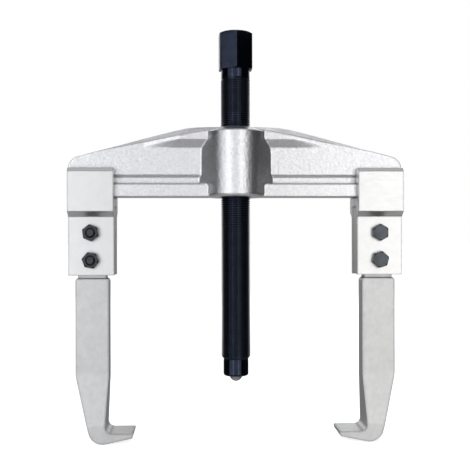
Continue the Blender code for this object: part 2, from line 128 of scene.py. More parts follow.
HOOK_GRIP_HEIGHT = 7.2 * MM
LEG_WIDTH = 22.3 * MM
LEG_THICKNESS = 12 * MM
TAPER_TOP = 44.5 * MM
TAPER_ROUND = 20 * MM
FLARE_END = 12.5 * MM
FLARE_LOW_ROUND = 12 * MM
FLARE_HIGH_ROUND = 24 * MM
HOOK_ROOT = 8.8 * MM
HEEL_ANGLE = math.radians(14)
HEEL_RADIUS = 9.8 * MM
TOE_SLOPE = math.radians(11.5)
TOE_TIP_LEAN = 0.8 * MM
TOE_TIP_LOW_ROUND = 1.2 * MM
TOE_TIP_HIGH_ROUND = 0.8 * MM
ROOT_RADIUS = 4.5 * MM
NECK_WIDTH = 18.8 * MM
NECK_THICKNESS = 10.4 * MM
NECK_HEIGHT = 2.0 * MM
SHOULDER_RADIUS = 2.2 * MM
SHOULDER_SIDE_RADIUS = 0.9 * MM
HEAD_PLAY = 0.2 * MM
HEAD_RISE = 0.6 * MM
LEG_EDGE = 1.0 * MM

CLAMP_PLATE = 3.7 * MM
CLAMP_SHELF = 6.0 * MM
STEP_DROP = 9.9 * MM
STEP_HEIGHT = 3.4 * MM
CLAMP_BEVEL = 2.4 * MM
CLAMP_EDGE = 0.7 * MM

BOLT_RADIUS = 3 * MM
BOLT_PITCH = 1.0 * MM
BOLT_ACROSS_FLATS = 10 * MM
BOLT_HEAD_HEIGHT = 4.0 * MM
NUT_HEIGHT = 5.0 * MM
BOLT_END = 1.2 * MM
BOLT_EDGE = 0.2 * MM
BOLT_SIDES = 48
BOLT_COLUMNS = 36
BOLT_RISES = {"lower": 10.2 * MM, "upper": 28.5 * MM}
BOLT_TURNS = {"left_upper": 8, "left_lower": 20, "right_upper": 0, "right_lower": 13}

# ---------------------------------------------------------------- places of the finer shapes

RIDGE_Z = RAIL_Z + RIDGE_RISE
BOSS_TOP_Z = RIDGE_Z - BOSS_TOP_DROP
BOSS_SHOULDER_Z = RIDGE_Z - BOSS_SHOULDER_DROP
RAIL_TOP_Z = RAIL_Z + RAIL_HEIGHT
GROOVE_TOP_Z = RAIL_TOP_Z + GROOVE_HEIGHT
SHOULDER_Z = CLAMP_BOTTOM_Z - NECK_HEIGHT
PLATE_FACE = LEG_THICKNESS / 2 + FIT + CLAMP_PLATE

# ---------------------------------------------------------------- mesh helpers


def make_object(name, data):
    """A new object of this mesh, light or camera, linked to the scene."""
    obj = bpy.data.objects.new(name, data)
    SCENE.collection.objects.link(obj)
    return obj


def make_mesh(name, bm):
    """The mesh of a bmesh, its normals outwards. The bmesh is freed."""
    bmesh.ops.recalc_face_normals(bm, faces=bm.faces)
    mesh = bpy.data.meshes.new(name)
    bm.to_mesh(mesh)
    bm.free()
    return mesh


def smooth(mesh, angle=32):
    """Shades the mesh smooth, except across edges sharper than the angle in degrees."""
    mesh.shade_smooth()
    mesh.set_sharp_from_angle(angle=math.radians(angle))


def prism(name, outline, start, length, along):
    """A closed outline of (a, b) points pushed out along X or Y from start."""
    place = {
        "X": lambda a, b: Vector((start, a, b)),
        "Y": lambda a, b: Vector((a, start, b)),
    }[along]
    push = {"X": Vector((length, 0, 0)), "Y": Vector((0, length, 0))}[along]
    bm = bmesh.new()
    face = bm.faces.new([bm.verts.new(place(a, b)) for a, b in outline])
    pushed = bmesh.ops.extrude_face_region(bm, geom=[face])
    moved = [v for v in pushed["geom"] if isinstance(v, bmesh.types.BMVert)]
    bmesh.ops.translate(bm, verts=moved, vec=push)
    return make_mesh(name, bm)


def turned(name, profile, sides, phase=0.0):
    """A solid turned about Z from (radius, z) points. A radius of 0 closes an end in a point."""
    bm = bmesh.new()
    rings = []
    for radius, z in profile:
        if radius == 0:
            rings.append([bm.verts.new((0, 0, z))])
            continue
        angles = [phase + 2 * math.pi * i / sides for i in range(sides)]
        rings.append([bm.verts.new((radius * math.cos(a), radius * math.sin(a), z)) for a in angles])
    for low, high in zip(rings, rings[1:]):
        for i in range(sides):
            corners = [low[i % len(low)], low[(i + 1) % len(low)]]
            corners += [high[(i + 1) % len(high)], high[i % len(high)]]
            bm.faces.new(list(dict.fromkeys(corners)))
    for ring in (rings[0], rings[-1]):
        if len(ring) > 1:
            bm.faces.new(ring)
    return make_mesh(name, bm)


def threaded(name, below, above, thread, columns):
    """A solid turned about Z with a real right-hand thread between two turned stretches.

    below runs from the lower end to the thread's start and above from its end to the top,
    each as (radius, z) points. thread is (outer radius, pitch)."""
    outer, pitch = thread
    (low_radius, low), (high_radius, high) = below[-1], above[0]
    inner = outer - THREAD_DEPTH_PER_PITCH * pitch
    samples = [(0.0, inner), (0.12, inner), (0.45, outer), (0.75, outer)]
    per_turn = len(samples)
    turns = math.ceil((high - low) / pitch) + 4

    def point(column, row):
        share, radius = samples[row % per_turn]
        z = low + (row // per_turn - 2 + share + column / columns) * pitch
        if z <= low:
            radius, z = low_radius, low
        elif z >= high:
            radius, z = high_radius, high
        else:
            radius = min(radius, low_radius + (z - low), high_radius + (high - z))
        angle = 2 * math.pi * column / columns
        return radius * math.cos(angle), radius * math.sin(angle), z

    bm = bmesh.new()
    grid = [[bm.verts.new(point(c, r)) for r in range(turns * per_turn)] for c in range(columns)]
    for c in range(columns):
        shift = per_turn if c == columns - 1 else 0
        here, there = grid[c], grid[(c + 1) % columns]
        for r in range(turns * per_turn - per_turn - 1):
            bm.faces.new((here[r], there[r + shift], there[r + shift + 1], here[r + 1]))
    for profile in (below, above):
        rings = []
        for radius, z in profile:
            angles = [2 * math.pi * c / columns for c in range(columns)]
            if radius == 0:
                rings.append([bm.verts.new((0, 0, z))] * columns)
            else:
                ring = [(radius * math.cos(a), radius * math.sin(a), z) for a in angles]
                rings.append([bm.verts.new(co) for co in ring])
        for first, second in zip(rings, rings[1:]):
            for c in range(columns):
                d = (c + 1) % columns
                bm.faces.new(list(dict.fromkeys((first[c], first[d], second[d], second[c]))))
        end = rings[0] if profile is below else rings[-1]
        if end[0] is not end[1]:
            bm.faces.new(end)
    bmesh.ops.remove_doubles(bm, verts=bm.verts, dist=1e-7)
    return make_mesh(name, bm)


def rounded(corners):
    """An outline from (x, z, radius) corners, with an arc of that radius at each corner."""
    steps = 10
    outline = []
    for i, (x, z, radius) in enumerate(corners):
        corner = Vector((x, z))
        if radius == 0:
            outline.append(corner)
            continue
        before = (Vector(corners[i - 1][:2]) - corner).normalized()
        after = (Vector(corners[(i + 1) % len(corners)][:2]) - corner).normalized()
        half = before.angle(after) / 2
        centre = corner + (before + after).normalized() * radius / math.sin(half)
        first = corner + before * radius / math.tan(half) - centre
        last = corner + after * radius / math.tan(half) - centre
        sweep = first.angle_signed(last)
        for step in range(steps + 1):
            outline.append(centre + Matrix.Rotation(-sweep * step / steps, 2) @ first)
    return outline


def applied(obj, helpers=()):
    """The object's mesh with its modifiers applied; the object and its helpers are removed."""
    graph = bpy.context.evaluated_depsgraph_get()
    result = bpy.data.meshes.new_from_object(obj.evaluated_get(graph))
    for gone in [obj, *helpers]:
        bpy.data.objects.remove(gone, do_unlink=True)
    return result


def combined(name, mesh, steps):
    """The mesh after Booleans with each (operation, mesh) step."""
    base = make_object(name, mesh)
    helpers = []
    for operation, other in steps:
        helpers.append(make_object(other.name, other))
        modifier = base.modifiers.new(operation.title(), "BOOLEAN")
        modifier.operation = operation
        modifier.object = helpers[-1]
    return applied(base, helpers)


def edged(mesh, width, segments=3, angle=30):
    """The mesh with its sharp edges rounded off, and its flats shaded flat."""
    base = make_object("edged", mesh)
    smooth(mesh, 50)
    modifier = base.modifiers.new("Edges", "BEVEL")
    modifier.width = width
    modifier.segments = segments
    modifier.limit_method = "ANGLE"
    modifier.angle_limit = math.radians(angle)
    modifier = base.modifiers.new("Normals", "WEIGHTED_NORMAL")
    modifier.weight = 100
    return applied(base)


def forged(mesh, voxel, rounds):
    """The mesh remade on an even grid and eased, so that every edge and corner is rounded."""
    base = make_object("forged", mesh)
    modifier = base.modifiers.new("Grid", "REMESH")
    modifier.mode = "VOXEL"
    modifier.voxel_size = voxel
    modifier = base.modifiers.new("Ease", "SMOOTH")
    modifier.factor = 0.5
    modifier.iterations = rounds
    return applied(base)


# ---------------------------------------------------------------- crossbeam


def share(value):
    """The value, held between 0 and 1."""
    return min(max(value, 0.0), 1.0)


def ridge_z(x):
    """The ridge's height at x from 0 to the end: level, then sloping, then round the end's corner."""
    past = x - RIDGE_HALF_LENGTH
    straight = RIDGE_Z - TOP_SLOPE * (past + math.hypot(past, RIDGE_EASE)) / 2
    inside = max(END_RADIUS - (HALF_BEAM - x), 0.0)
    return straight - (END_RADIUS - math.sqrt(END_RADIUS**2 - min(inside, END_RADIUS) ** 2))


def beam_section(x):
    """The front half of the beam's section at x, as (y, z) points from the underside to the ridge."""
    out = abs(x)
    sloping = RIDGE_Z + FRONT_EDGE_RISE - FRONT_EDGE_SLOPE * out
    front_z = min(sloping, ridge_z(out) - ROOF_DROP)
    rib = share((RIB_START - out) / (RIB_START - RIB_FULL))
    rib_z = min(RIDGE_Z - RIB_ROOT_DROP, front_z - RIB_LEAST_FACE)
    face = WEB_HALF_DEPTH + RIB_PROUD * rib
    return [
        (-RAIL_HALF_DEPTH, RAIL_Z),
        (-RAIL_HALF_DEPTH, RAIL_TOP_Z),
        (-GROOVE_HALF_DEPTH, RAIL_TOP_Z),
        (-GROOVE_HALF_DEPTH, GROOVE_TOP_Z),
        (-WEB_HALF_DEPTH, GROOVE_TOP_Z + GROOVE_SLANT),
        (-WEB_HALF_DEPTH, rib_z),
        (-face, rib_z + max(RIB_LEAST_UNDERSIDE, RIB_UNDERSIDE * rib**RIB_CURVE)),
        (-face, front_z),
        (-RIDGE_HALF_FLAT, ridge_z(out)),
    ]


def loft(bm, rings):
    """Faces between each ring of vertices and the next, and one across each end."""
    for low, high in zip(rings, rings[1:]):
        for i in range(len(low)):
            j = (i + 1) % len(low)
            bm.faces.new((low[i], low[j], high[j], high[i]))
    bm.faces.new(rings[0])
    bm.faces.new(rings[-1])


def beam_body():
    """The beam without its boss, lofted through sections that stand close together where it bends."""
    ridge_steps, ridge_count, rib_steps, corner_steps = 20, 36, 12, 10
    meeting = TOP_SLOPE * RIDGE_HALF_LENGTH - ROOF_DROP - FRONT_EDGE_RISE
    meeting /= TOP_SLOPE - FRONT_EDGE_SLOPE
    bends = [RIDGE_HALF_LENGTH * step / ridge_steps for step in range(ridge_count)]
    bends += [meeting, RIB_START, RIB_FULL]
    bends += [RIB_START + (RIB_FULL - RIB_START) * step / rib_steps for step in range(1, rib_steps)]
    turns = [math.pi / 2 * step / corner_steps for step in range(corner_steps + 1)]
    corner = [HALF_BEAM - END_RADIUS * (1 - math.sin(turn)) for turn in turns]
    stations = sorted({-x for x in bends + corner} | set(bends + corner))
    bm = bmesh.new()
    rings = []
    for x in stations:
        front = beam_section(x)
        rear = [(-y, z) for y, z in reversed(front)]
        rings.append([bm.verts.new((x, y, z)) for y, z in front + rear])
    loft(bm, rings)
    return make_mesh("beam_body", bm)


def root_outline(reach):
    """The plan of the boss with flat walls that leave the web this far out and touch its round side."""
    radius, web, steps = BOSS_RADIUS - BOSS_ROOT_INSET, WEB_HALF_DEPTH, 24
    touch = math.atan2(web, reach) + math.acos(radius / math.hypot(reach, web))
    quarter = [(reach + web / 2 * math.tan(touch), web / 2)]
    for step in range(steps + 1):
        turn = touch + (math.pi / 2 - touch) * step / steps
        quarter.append((radius * math.cos(turn), radius * math.sin(turn)))
    top = quarter + [(-x, y) for x, y in reversed(quarter[:-1])]
    return top + [(x, -y) for x, y in reversed(top)]


def boss_root():
    """The boss's root on the web. It draws in to the boss's side as it rises under the rib."""
    start = RIDGE_Z - RIB_ROOT_DROP + RIB_UNDERSIDE + FIT - BOSS_ROOT_ROUND
    draw, steps = BOSS_ROOT - BOSS_RADIUS - FIT, 16
    levels = [(RAIL_TOP_Z - FIT, BOSS_ROOT)]
    for step in range(steps + 1):
        turn = math.pi / 2 * step / steps
        z = start + BOSS_ROOT_ROUND * math.sin(turn)
        levels.append((z, BOSS_ROOT - draw * (1 - math.cos(turn))))
    levels.append((BOSS_SHOULDER_Z - FIT, BOSS_ROOT - draw))
    bm = bmesh.new()
    loft(bm, [[bm.verts.new((x, y, z)) for x, y in root_outline(reach)] for z, reach in levels])
    return make_mesh("boss_root", bm)


def forge_marks(mesh):
    """Shallow lumps over the forged faces. The rail and its groove are machined, and stay true."""
    web_start, web_fade = 12 * MM, 3 * MM
    boss_start, boss_fade = 14 * MM, 3 * MM
    root_fade = 2 * MM
    coarse_grain, coarse_height = 260, 0.05
    fine_grain, fine_height, fine_shift = 620, 0.035, Vector((7, 3, 1))
    moved = []
    for vertex, normal in zip(mesh.vertices, mesh.vertex_normals):
        co = Vector(vertex.co)
        from_axis = math.hypot(co.x, co.y)
        on_web = share((co.z - GROOVE_TOP_Z) / web_fade) * share((from_axis - web_start) / MM)
        on_boss = share((from_axis - boss_start) / boss_fade) * share((BOSS_ROOT - from_axis) / root_fade)
        lumps = noise.noise(co * coarse_grain) * coarse_height
        lumps += noise.noise(co * fine_grain + fine_shift) * fine_height
        moved.extend(co + Vector(normal.vector) * lumps * MM * max(on_web, on_boss))
    mesh.vertices.foreach_set("co", moved)
    mesh.update()


def make_crossbeam(material):
    """The forging: beam, boss root and boss in one, with the spindle's bore through them."""
    profile = [(BOSS_RADIUS - BOSS_CHAMFER, RAIL_Z), (BOSS_RADIUS, RAIL_Z + BOSS_CHAMFER)]
    profile += [(BOSS_RADIUS, BOSS_SHOULDER_Z), (BOSS_TOP_RADIUS, BOSS_TOP_Z)]
    bore_radius = THREAD_RADIUS + FIT
    bore = [(bore_radius + BORE_CHAMFER * 2, RAIL_Z - BORE_CHAMFER)]
    bore += [(bore_radius, RAIL_Z + BORE_CHAMFER), (bore_radius, BOSS_TOP_Z - BORE_CHAMFER)]
    bore += [(bore_radius + BORE_CHAMFER * 2, BOSS_TOP_Z + BORE_CHAMFER)]
    steps = [
        ("UNION", boss_root()),
        ("UNION", turned("boss", profile, ROUND_SIDES)),
        ("DIFFERENCE", turned("bore", bore, ROUND_SIDES)),
    ]
    mesh = forged(combined("crossbeam_blank", beam_body(), steps), FORGING_VOXEL, FORGING_ROUNDS)
    forge_marks(mesh)
    mesh.shade_smooth()
    mesh.materials.append(material)
    return make_object("crossbeam_forging", mesh)


# ---------------------------------------------------------------- spindle


def hexagon(name, across_flats, low, high, chamfered):
    """A hexagon prism along Z, its corners turned off at the chamfered ends."""
    sides, share_of_flat, slope = 72, 0.95, 0.58
    corner, flat = across_flats / 2 / math.cos(math.pi / 6), across_flats / 2
    outside, face = corner * 1.02, flat * share_of_flat
    cut = outside - face
    limit = [(outside, low), (outside, high)]
    if "low" in chamfered:
        limit[:1] = [(face, low), (outside, low + cut * slope)]
    if "high" in chamfered:
        limit[-1:] = [(outside, high - cut * slope), (face, high)]
    body = turned(name, [(corner, low), (corner, high)], 6)
    return combined(name, body, [("INTERSECT", turned(name + "_limit", limit, sides))])


def spindle_shaft(low, hex_low):
    """The point with the ball's socket, the thread and the collar, up to the hexagon."""
    socket_steps, round_steps = 12, 8
    thread_low = low + POINT_LENGTH
    thread_high = hex_low - COLLAR_LENGTH
    ball_radius = (BALL_HIGH.z - BALL_LOW.z) / 2
    ball_z = BALL_LOW.z + ball_radius
    socket = ball_radius + FIT
    below = [(0, ball_z + socket)]
    rim = math.acos(max((low - ball_z) / socket, -1.0))
    for step in range(1, socket_steps + 1):
        turn = rim * step / socket_steps
        below.append((socket * math.sin(turn), ball_z + socket * math.cos(turn)))
    below.append((socket * math.sin(rim) + POINT_RIM, low))
    for step in range(round_steps + 1):
        turn = math.pi / 2 * step / round_steps
        radius = POINT_RADIUS - POINT_ROUND + POINT_ROUND * math.sin(turn)
        below.append((radius, low + POINT_ROUND * (1 - math.cos(turn))))
    below += [(POINT_RADIUS, thread_low - 0.7 * MM), (POINT_RADIUS - 0.3 * MM, thread_low)]
    above = [
        (COLLAR_RADIUS - 0.5 * MM, thread_high),
        (COLLAR_RADIUS - 0.15 * MM, thread_high + 0.1 * MM),
        (COLLAR_RADIUS, thread_high + 0.4 * MM),
        (COLLAR_RADIUS, hex_low + 1.2 * MM),
    ]
    return threaded("spindle_shaft", below, above, (THREAD_RADIUS, THREAD_PITCH), THREAD_COLUMNS)


def spindle_head(hex_low, top):
    """The hexagon, its corners turned off in a cone below and in a crown above."""
    flat = HEX_ACROSS_FLATS / 2
    corner = flat / math.cos(math.pi / 6)
    rise = corner - flat
    crown = [
        (flat + 0.2 * MM, hex_low),
        (corner + 0.3 * MM, hex_low + rise * 0.4),
        (corner + 0.3 * MM, top - rise * 0.95),
        (flat + 0.3 * MM, top - 0.45 * MM),
        (flat - 0.6 * MM, top - 0.1 * MM),
        (flat - 1.8 * MM, top),
    ]
    head = turned("spindle_head", [(corner, hex_low), (corner, top)], 6, HEX_TURN - math.pi / 2)
    head = combined("spindle_head", head, [("INTERSECT", turned("crown", crown, ROUND_SIDES))])
    return edged(head, 0.35 * MM, 3, 20)


def make_spindle(material):
    """The spindle: its shaft and its hexagon in one."""
    hex_low = SPINDLE_HIGH.z - HEX_LENGTH
    shaft = spindle_shaft(SPINDLE_LOW.z, hex_low)
    head = spindle_head(hex_low, SPINDLE_HIGH.z)
    mesh = combined("spindle_threaded", shaft, [("UNION", head)])
    smooth(mesh, 35)
    mesh.materials.append(material)
    return make_object("threaded_spindle", mesh)


def make_ball(material):
    """The ball in the spindle's point."""
    radius = (BALL_HIGH.z - BALL_LOW.z) / 2
    centre = BALL_LOW.z + radius
    profile = [(0, BALL_LOW.z)]
    for step in range(1, BALL_RINGS):
        turn = math.pi * step / BALL_RINGS
        profile.append((radius * math.sin(turn), centre - radius * math.cos(turn)))
    profile.append((0, centre + radius))
    mesh = turned("ball", profile, BALL_SIDES)
    mesh.shade_smooth()
    mesh.materials.append(material)
    return make_object("hardened_ball", mesh)


# ---------------------------------------------------------------- arms


def leg_outline():
    """The leg from the front about its centre line: +X is the side of the toe."""
    half, neck = LEG_WIDTH / 2, NECK_WIDTH / 2
    head = CLAMP_WIDTH / 2 - HEAD_PLAY
    head_top = RAIL_Z - FIT - CLAMP_SHELF - FIT
    head_bottom = CLAMP_BOTTOM_Z + HEAD_RISE
    lean, slope = HEEL_ANGLE, TOE_SLOPE
    heel_x = -half + (TAPER_TOP - HEEL_RADIUS) * math.tan(lean) + HEEL_RADIUS / math.cos(lean)
    drop = HEEL_RADIUS * (1 / math.cos(slope) - 1)
    toe_z = (TOE_LENGTH - heel_x) * math.tan(slope) - drop
    run = TAPER_TOP + drop + (heel_x + half) * math.tan(slope)
    corner_x = -half + run * math.tan(lean) / (1 + math.tan(lean) * math.tan(slope))
    corner_z = (corner_x - heel_x) * math.tan(slope) - drop
    return rounded(
        [
            (-half, SHOULDER_Z, SHOULDER_RADIUS),
            (-half, TAPER_TOP, TAPER_ROUND),
            (corner_x, corner_z, HEEL_RADIUS),
            (TOE_LENGTH - TOE_TIP_LEAN, toe_z, TOE_TIP_LOW_ROUND),
            (TOE_LENGTH, HOOK_GRIP_HEIGHT, TOE_TIP_HIGH_ROUND),
            (HOOK_ROOT, HOOK_GRIP_HEIGHT, ROOT_RADIUS),
            (half, TAPER_TOP, TAPER_ROUND),
            (half, SHOULDER_Z, SHOULDER_RADIUS),
            (neck, SHOULDER_Z, 0),
            (neck, head_bottom, 0),
            (head, head_bottom, 0),
            (head, head_top, 0),
            (-head, head_top, 0),
            (-head, head_bottom, 0),
            (-neck, head_bottom, 0),
            (-neck, SHOULDER_Z, 0),
        ]
    )


def leg_side_outline():
    """The leg from the side: thin above, spreading to the hook's full depth below."""
    leg, neck, hook = LEG_THICKNESS / 2, NECK_THICKNESS / 2, HOOK_DEPTH / 2
    margin = 2 * MM
    half = rounded(
        [
            (hook, -margin, 0),
            (hook, FLARE_END, FLARE_LOW_ROUND),
            (leg, TAPER_TOP, FLARE_HIGH_ROUND),
            (leg, SHOULDER_Z, SHOULDER_SIDE_RADIUS),
            (neck, SHOULDER_Z, 0),
            (neck, CLAMP_BOTTOM_Z + 0.3 * MM, 0),
            (leg, CLAMP_BOTTOM_Z + 1.0 * MM, 0),
            (leg, RAIL_Z + margin, 0),
            (0, RAIL_Z + margin, 0),
            (0, -margin, 0),
        ]
    )
    half = half[:-2]  # without the two corners on the leg's centre plane
    return half + [Vector((-y, z)) for y, z in reversed(half)]


def bolt_hole(name, z):
    """The cutter for a bolt's hole, along Y at this height."""
    radius, reach = BOLT_RADIUS + FIT, 30 * MM
    mesh = turned(name, [(radius, -reach), (radius, reach)], BOLT_SIDES)
    mesh.transform(Matrix.Translation((0, 0, z)) @ Matrix.Rotation(math.pi / 2, 4, "X"))
    return mesh


def bolt_holes(name):
    """The Boolean steps that cut both bolts' holes."""
    return [
        ("DIFFERENCE", bolt_hole(f"{name}_hole_{row}", CLAMP_BOTTOM_Z + rise))
        for row, rise in BOLT_RISES.items()
    ]


def leg_mesh():
    """The leg with its hook: what its front and side outlines share, drilled and rounded."""
    front = prism("leg_front", leg_outline(), -HOOK_DEPTH / 2, HOOK_DEPTH, "Y")
    reach = CLAMP_WIDTH + TOE_LENGTH
    side = prism("leg_side", leg_side_outline(), -reach, 2 * reach, "X")
    mesh = combined("leg_blank", front, [("INTERSECT", side), *bolt_holes("leg")])
    return edged(mesh, LEG_EDGE)


def clamp_outline():
    """The section of the half in front of the leg, as (y, z) points."""
    plate_inside, wall_inside = LEG_THICKNESS / 2 + FIT, RAIL_HALF_DEPTH + FIT
    groove, web = GROOVE_HALF_DEPTH + FIT, WEB_HALF_DEPTH + FIT
    shelf_top = RAIL_Z - FIT
    groove_top = GROOVE_TOP_Z - FIT
    return [
        (-PLATE_FACE, CLAMP_BOTTOM_Z),
        (-PLATE_FACE, RAIL_Z - STEP_DROP - STEP_HEIGHT),
        (-BLOCK_FACE, RAIL_Z - STEP_DROP),
        (-BLOCK_FACE, CLAMP_TOP_Z - CLAMP_BEVEL),
        (-BLOCK_FACE + CLAMP_BEVEL, CLAMP_TOP_Z),
        (-web, CLAMP_TOP_Z),
        (-web, groove_top + GROOVE_SLANT),
        (-groove, groove_top),
        (-groove, RAIL_TOP_Z + FIT),
        (-wall_inside, RAIL_TOP_Z + FIT),
        (-wall_inside, shelf_top),
        (-FIT, shelf_top),
        (-FIT, shelf_top - CLAMP_SHELF),
        (-plate_inside, shelf_top - CLAMP_SHELF),
        (-plate_inside, CLAMP_BOTTOM_Z),
    ]


def clamp_mesh():
    """The clamp half in front of the leg, drilled and rounded."""
    body = prism("clamp_body", clamp_outline(), -CLAMP_WIDTH / 2, CLAMP_WIDTH, "X")
    return edged(combined("clamp_blank", body, bolt_holes("clamp")), CLAMP_EDGE)


def bolt_mesh():
    """A bolt along Z, its head's seat at 0 and its threaded end above."""
    grip = 2 * PLATE_FACE + 2 * FIT
    end = grip + NUT_HEIGHT + BOLT_END
    head = hexagon("bolt_head", BOLT_ACROSS_FLATS, -BOLT_HEAD_HEIGHT, 0.0, ("low",))
    head = edged(head, BOLT_EDGE, 2, 20)
    thread_low = grip - 2 * MM
    inside_head, chamfer = -1 * MM, 0.4 * MM
    core, tip = BOLT_RADIUS - 0.5 * MM, BOLT_RADIUS - 0.8 * MM
    below = [(BOLT_RADIUS, inside_head), (BOLT_RADIUS, thread_low - chamfer), (core, thread_low)]
    above = [(core, end - chamfer), (tip, end)]
    shank = threaded("bolt_shank", below, above, (BOLT_RADIUS, BOLT_PITCH), BOLT_COLUMNS)
    mesh = combined("bolt_blank", head, [("UNION", shank)])
    smooth(mesh)
    return mesh


def nut_mesh():
    """A nut along Z, its seat at 0."""
    body = hexagon("nut_body", BOLT_ACROSS_FLATS, 0.0, NUT_HEIGHT, ("low", "high"))
    body = edged(body, BOLT_EDGE, 2, 20)
    hole_radius, flare, past = BOLT_RADIUS + FIT / 2, 0.35 * MM, 0.1 * MM
    hole = [(hole_radius + flare, -past), (hole_radius, flare), (hole_radius, NUT_HEIGHT - flare)]
    hole += [(hole_radius + flare, NUT_HEIGHT + past)]
    mesh = combined("nut_blank", body, [("DIFFERENCE", turned("nut_hole", hole, BOLT_SIDES))])
    smooth(mesh)
    return mesh


def make_arm(side, meshes):
    """One arm's pieces. In the arm's own frame its nuts are in front and its toe points along +X."""
    at_left = side == "left"
    turn = Matrix.Rotation(0 if at_left else math.pi, 4, "Z")
    place = Matrix.Translation((-ARM_X if at_left else ARM_X, 0, 0)) @ turn
    body = f"{side}_arm"

    def piece(name, mesh, local, node):
        """A copy of the mesh at this place in the arm's own frame, in the CAD node's stead."""
        copy = mesh.copy()
        copy.transform(place @ local)
        obj = make_object(name, copy)
        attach(obj, body)
        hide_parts(node)

    half_round = Matrix.Rotation(math.pi, 4, "Z")
    near, far = ("front", "rear") if at_left else ("rear", "front")
    piece(f"{side}_hooked_leg", meshes["leg"], Matrix(), f"{side}_leg")
    piece(f"{side}_{near}_clamp_half", meshes["clamp"], Matrix(), f"{side}_{near}_clamp")
    piece(f"{side}_{far}_clamp_half", meshes["clamp"], half_round, f"{side}_{far}_clamp")

    along = Matrix.Rotation(math.pi / 2, 4, "X")
    seat = PLATE_FACE + FIT
    for row, rise in BOLT_RISES.items():
        name = f"{side}_{row}"
        z = CLAMP_BOTTOM_Z + rise
        spin = Matrix.Rotation(math.radians(30 + BOLT_TURNS[name]), 4, "Z")
        rear = Matrix.Translation((0, seat, z)) @ along @ spin
        front = Matrix.Translation((0, -seat, z)) @ along @ spin
        piece(f"{name}_hex_bolt", meshes["bolt"], rear, f"{name}_bolt")
        piece(f"{name}_hex_nut", meshes["nut"], front, f"{name}_nut")


# ---------------------------------------------------------------- finishes


def add(tree, kind, inputs=None, **settings):
    """A new node with its settings, and its inputs linked or set by name or number."""
    node = tree.nodes.new(kind)
    for key, value in settings.items():
        setattr(node, key, value)
    for key, value in (inputs or {}).items():
        if isinstance(value, bpy.types.NodeSocket):
            tree.links.new(value, node.inputs[key])
        else:
            node.inputs[key].default_value = value
    return node


def noise_of(tree, where, scale, detail, stretch=(1, 1, 1)):
    """Noise with a grain of 1 / scale metres, drawn out along an axis by a small stretch there."""
    mapped = add(tree, "ShaderNodeMapping", {"Vector": where, "Scale": stretch})
    inputs = {"Vector": mapped.outputs[0], "Scale": scale, "Detail": detail}
    return add(tree, "ShaderNodeTexNoise", inputs).outputs["Fac"]


def ranged(tree, value, low, high, to_low, to_high):
    """The value carried from low..high to to_low..to_high, and held within them."""
    inputs = {"Value": value, "From Min": low, "From Max": high, "To Min": to_low, "To Max": to_high}
    return add(tree, "ShaderNodeMapRange", inputs).outputs["Result"]


def mixed(tree, factor, first, second):
    """The first colour where the factor is 0 and the second where it is 1."""
    node = add(tree, "ShaderNodeMix", {"Factor": factor}, data_type="RGBA")
    for socket, value in ((node.inputs["A"], first), (node.inputs["B"], second)):
        if isinstance(value, bpy.types.NodeSocket):
            tree.links.new(value, socket)
        else:
            socket.default_value = (*value, 1.0)
    return node.outputs["Result"]


def edge_mask(tree, radius):
    """Nearly 1 on edges and corners sharper than the radius, 0 on open faces. It places the edge colour:
    wear on the dark steels, painted shade on the bright ones.
    """
    round_normal = add(tree, "ShaderNodeBevel", {"Radius": radius}, samples=4).outputs["Normal"]
    true_normal = add(tree, "ShaderNodeNewGeometry").outputs["Normal"]
    both = add(tree, "ShaderNodeVectorMath", {0: round_normal, 1: true_normal}, operation="DOT_PRODUCT")
    return ranged(tree, both.outputs["Value"], 0.995, 0.93, 0.0, 1.0)


def corner_shade_mask(tree, distance):
    """Nearly 1 deep in corners and gaps, 0 on open faces: the mask of the painted shade there."""
    shade = add(tree, "ShaderNodeAmbientOcclusion", {"Distance": distance}, samples=6).outputs["AO"]
    return ranged(tree, shade, 0.35, 0.85, 1.0, 0.0)


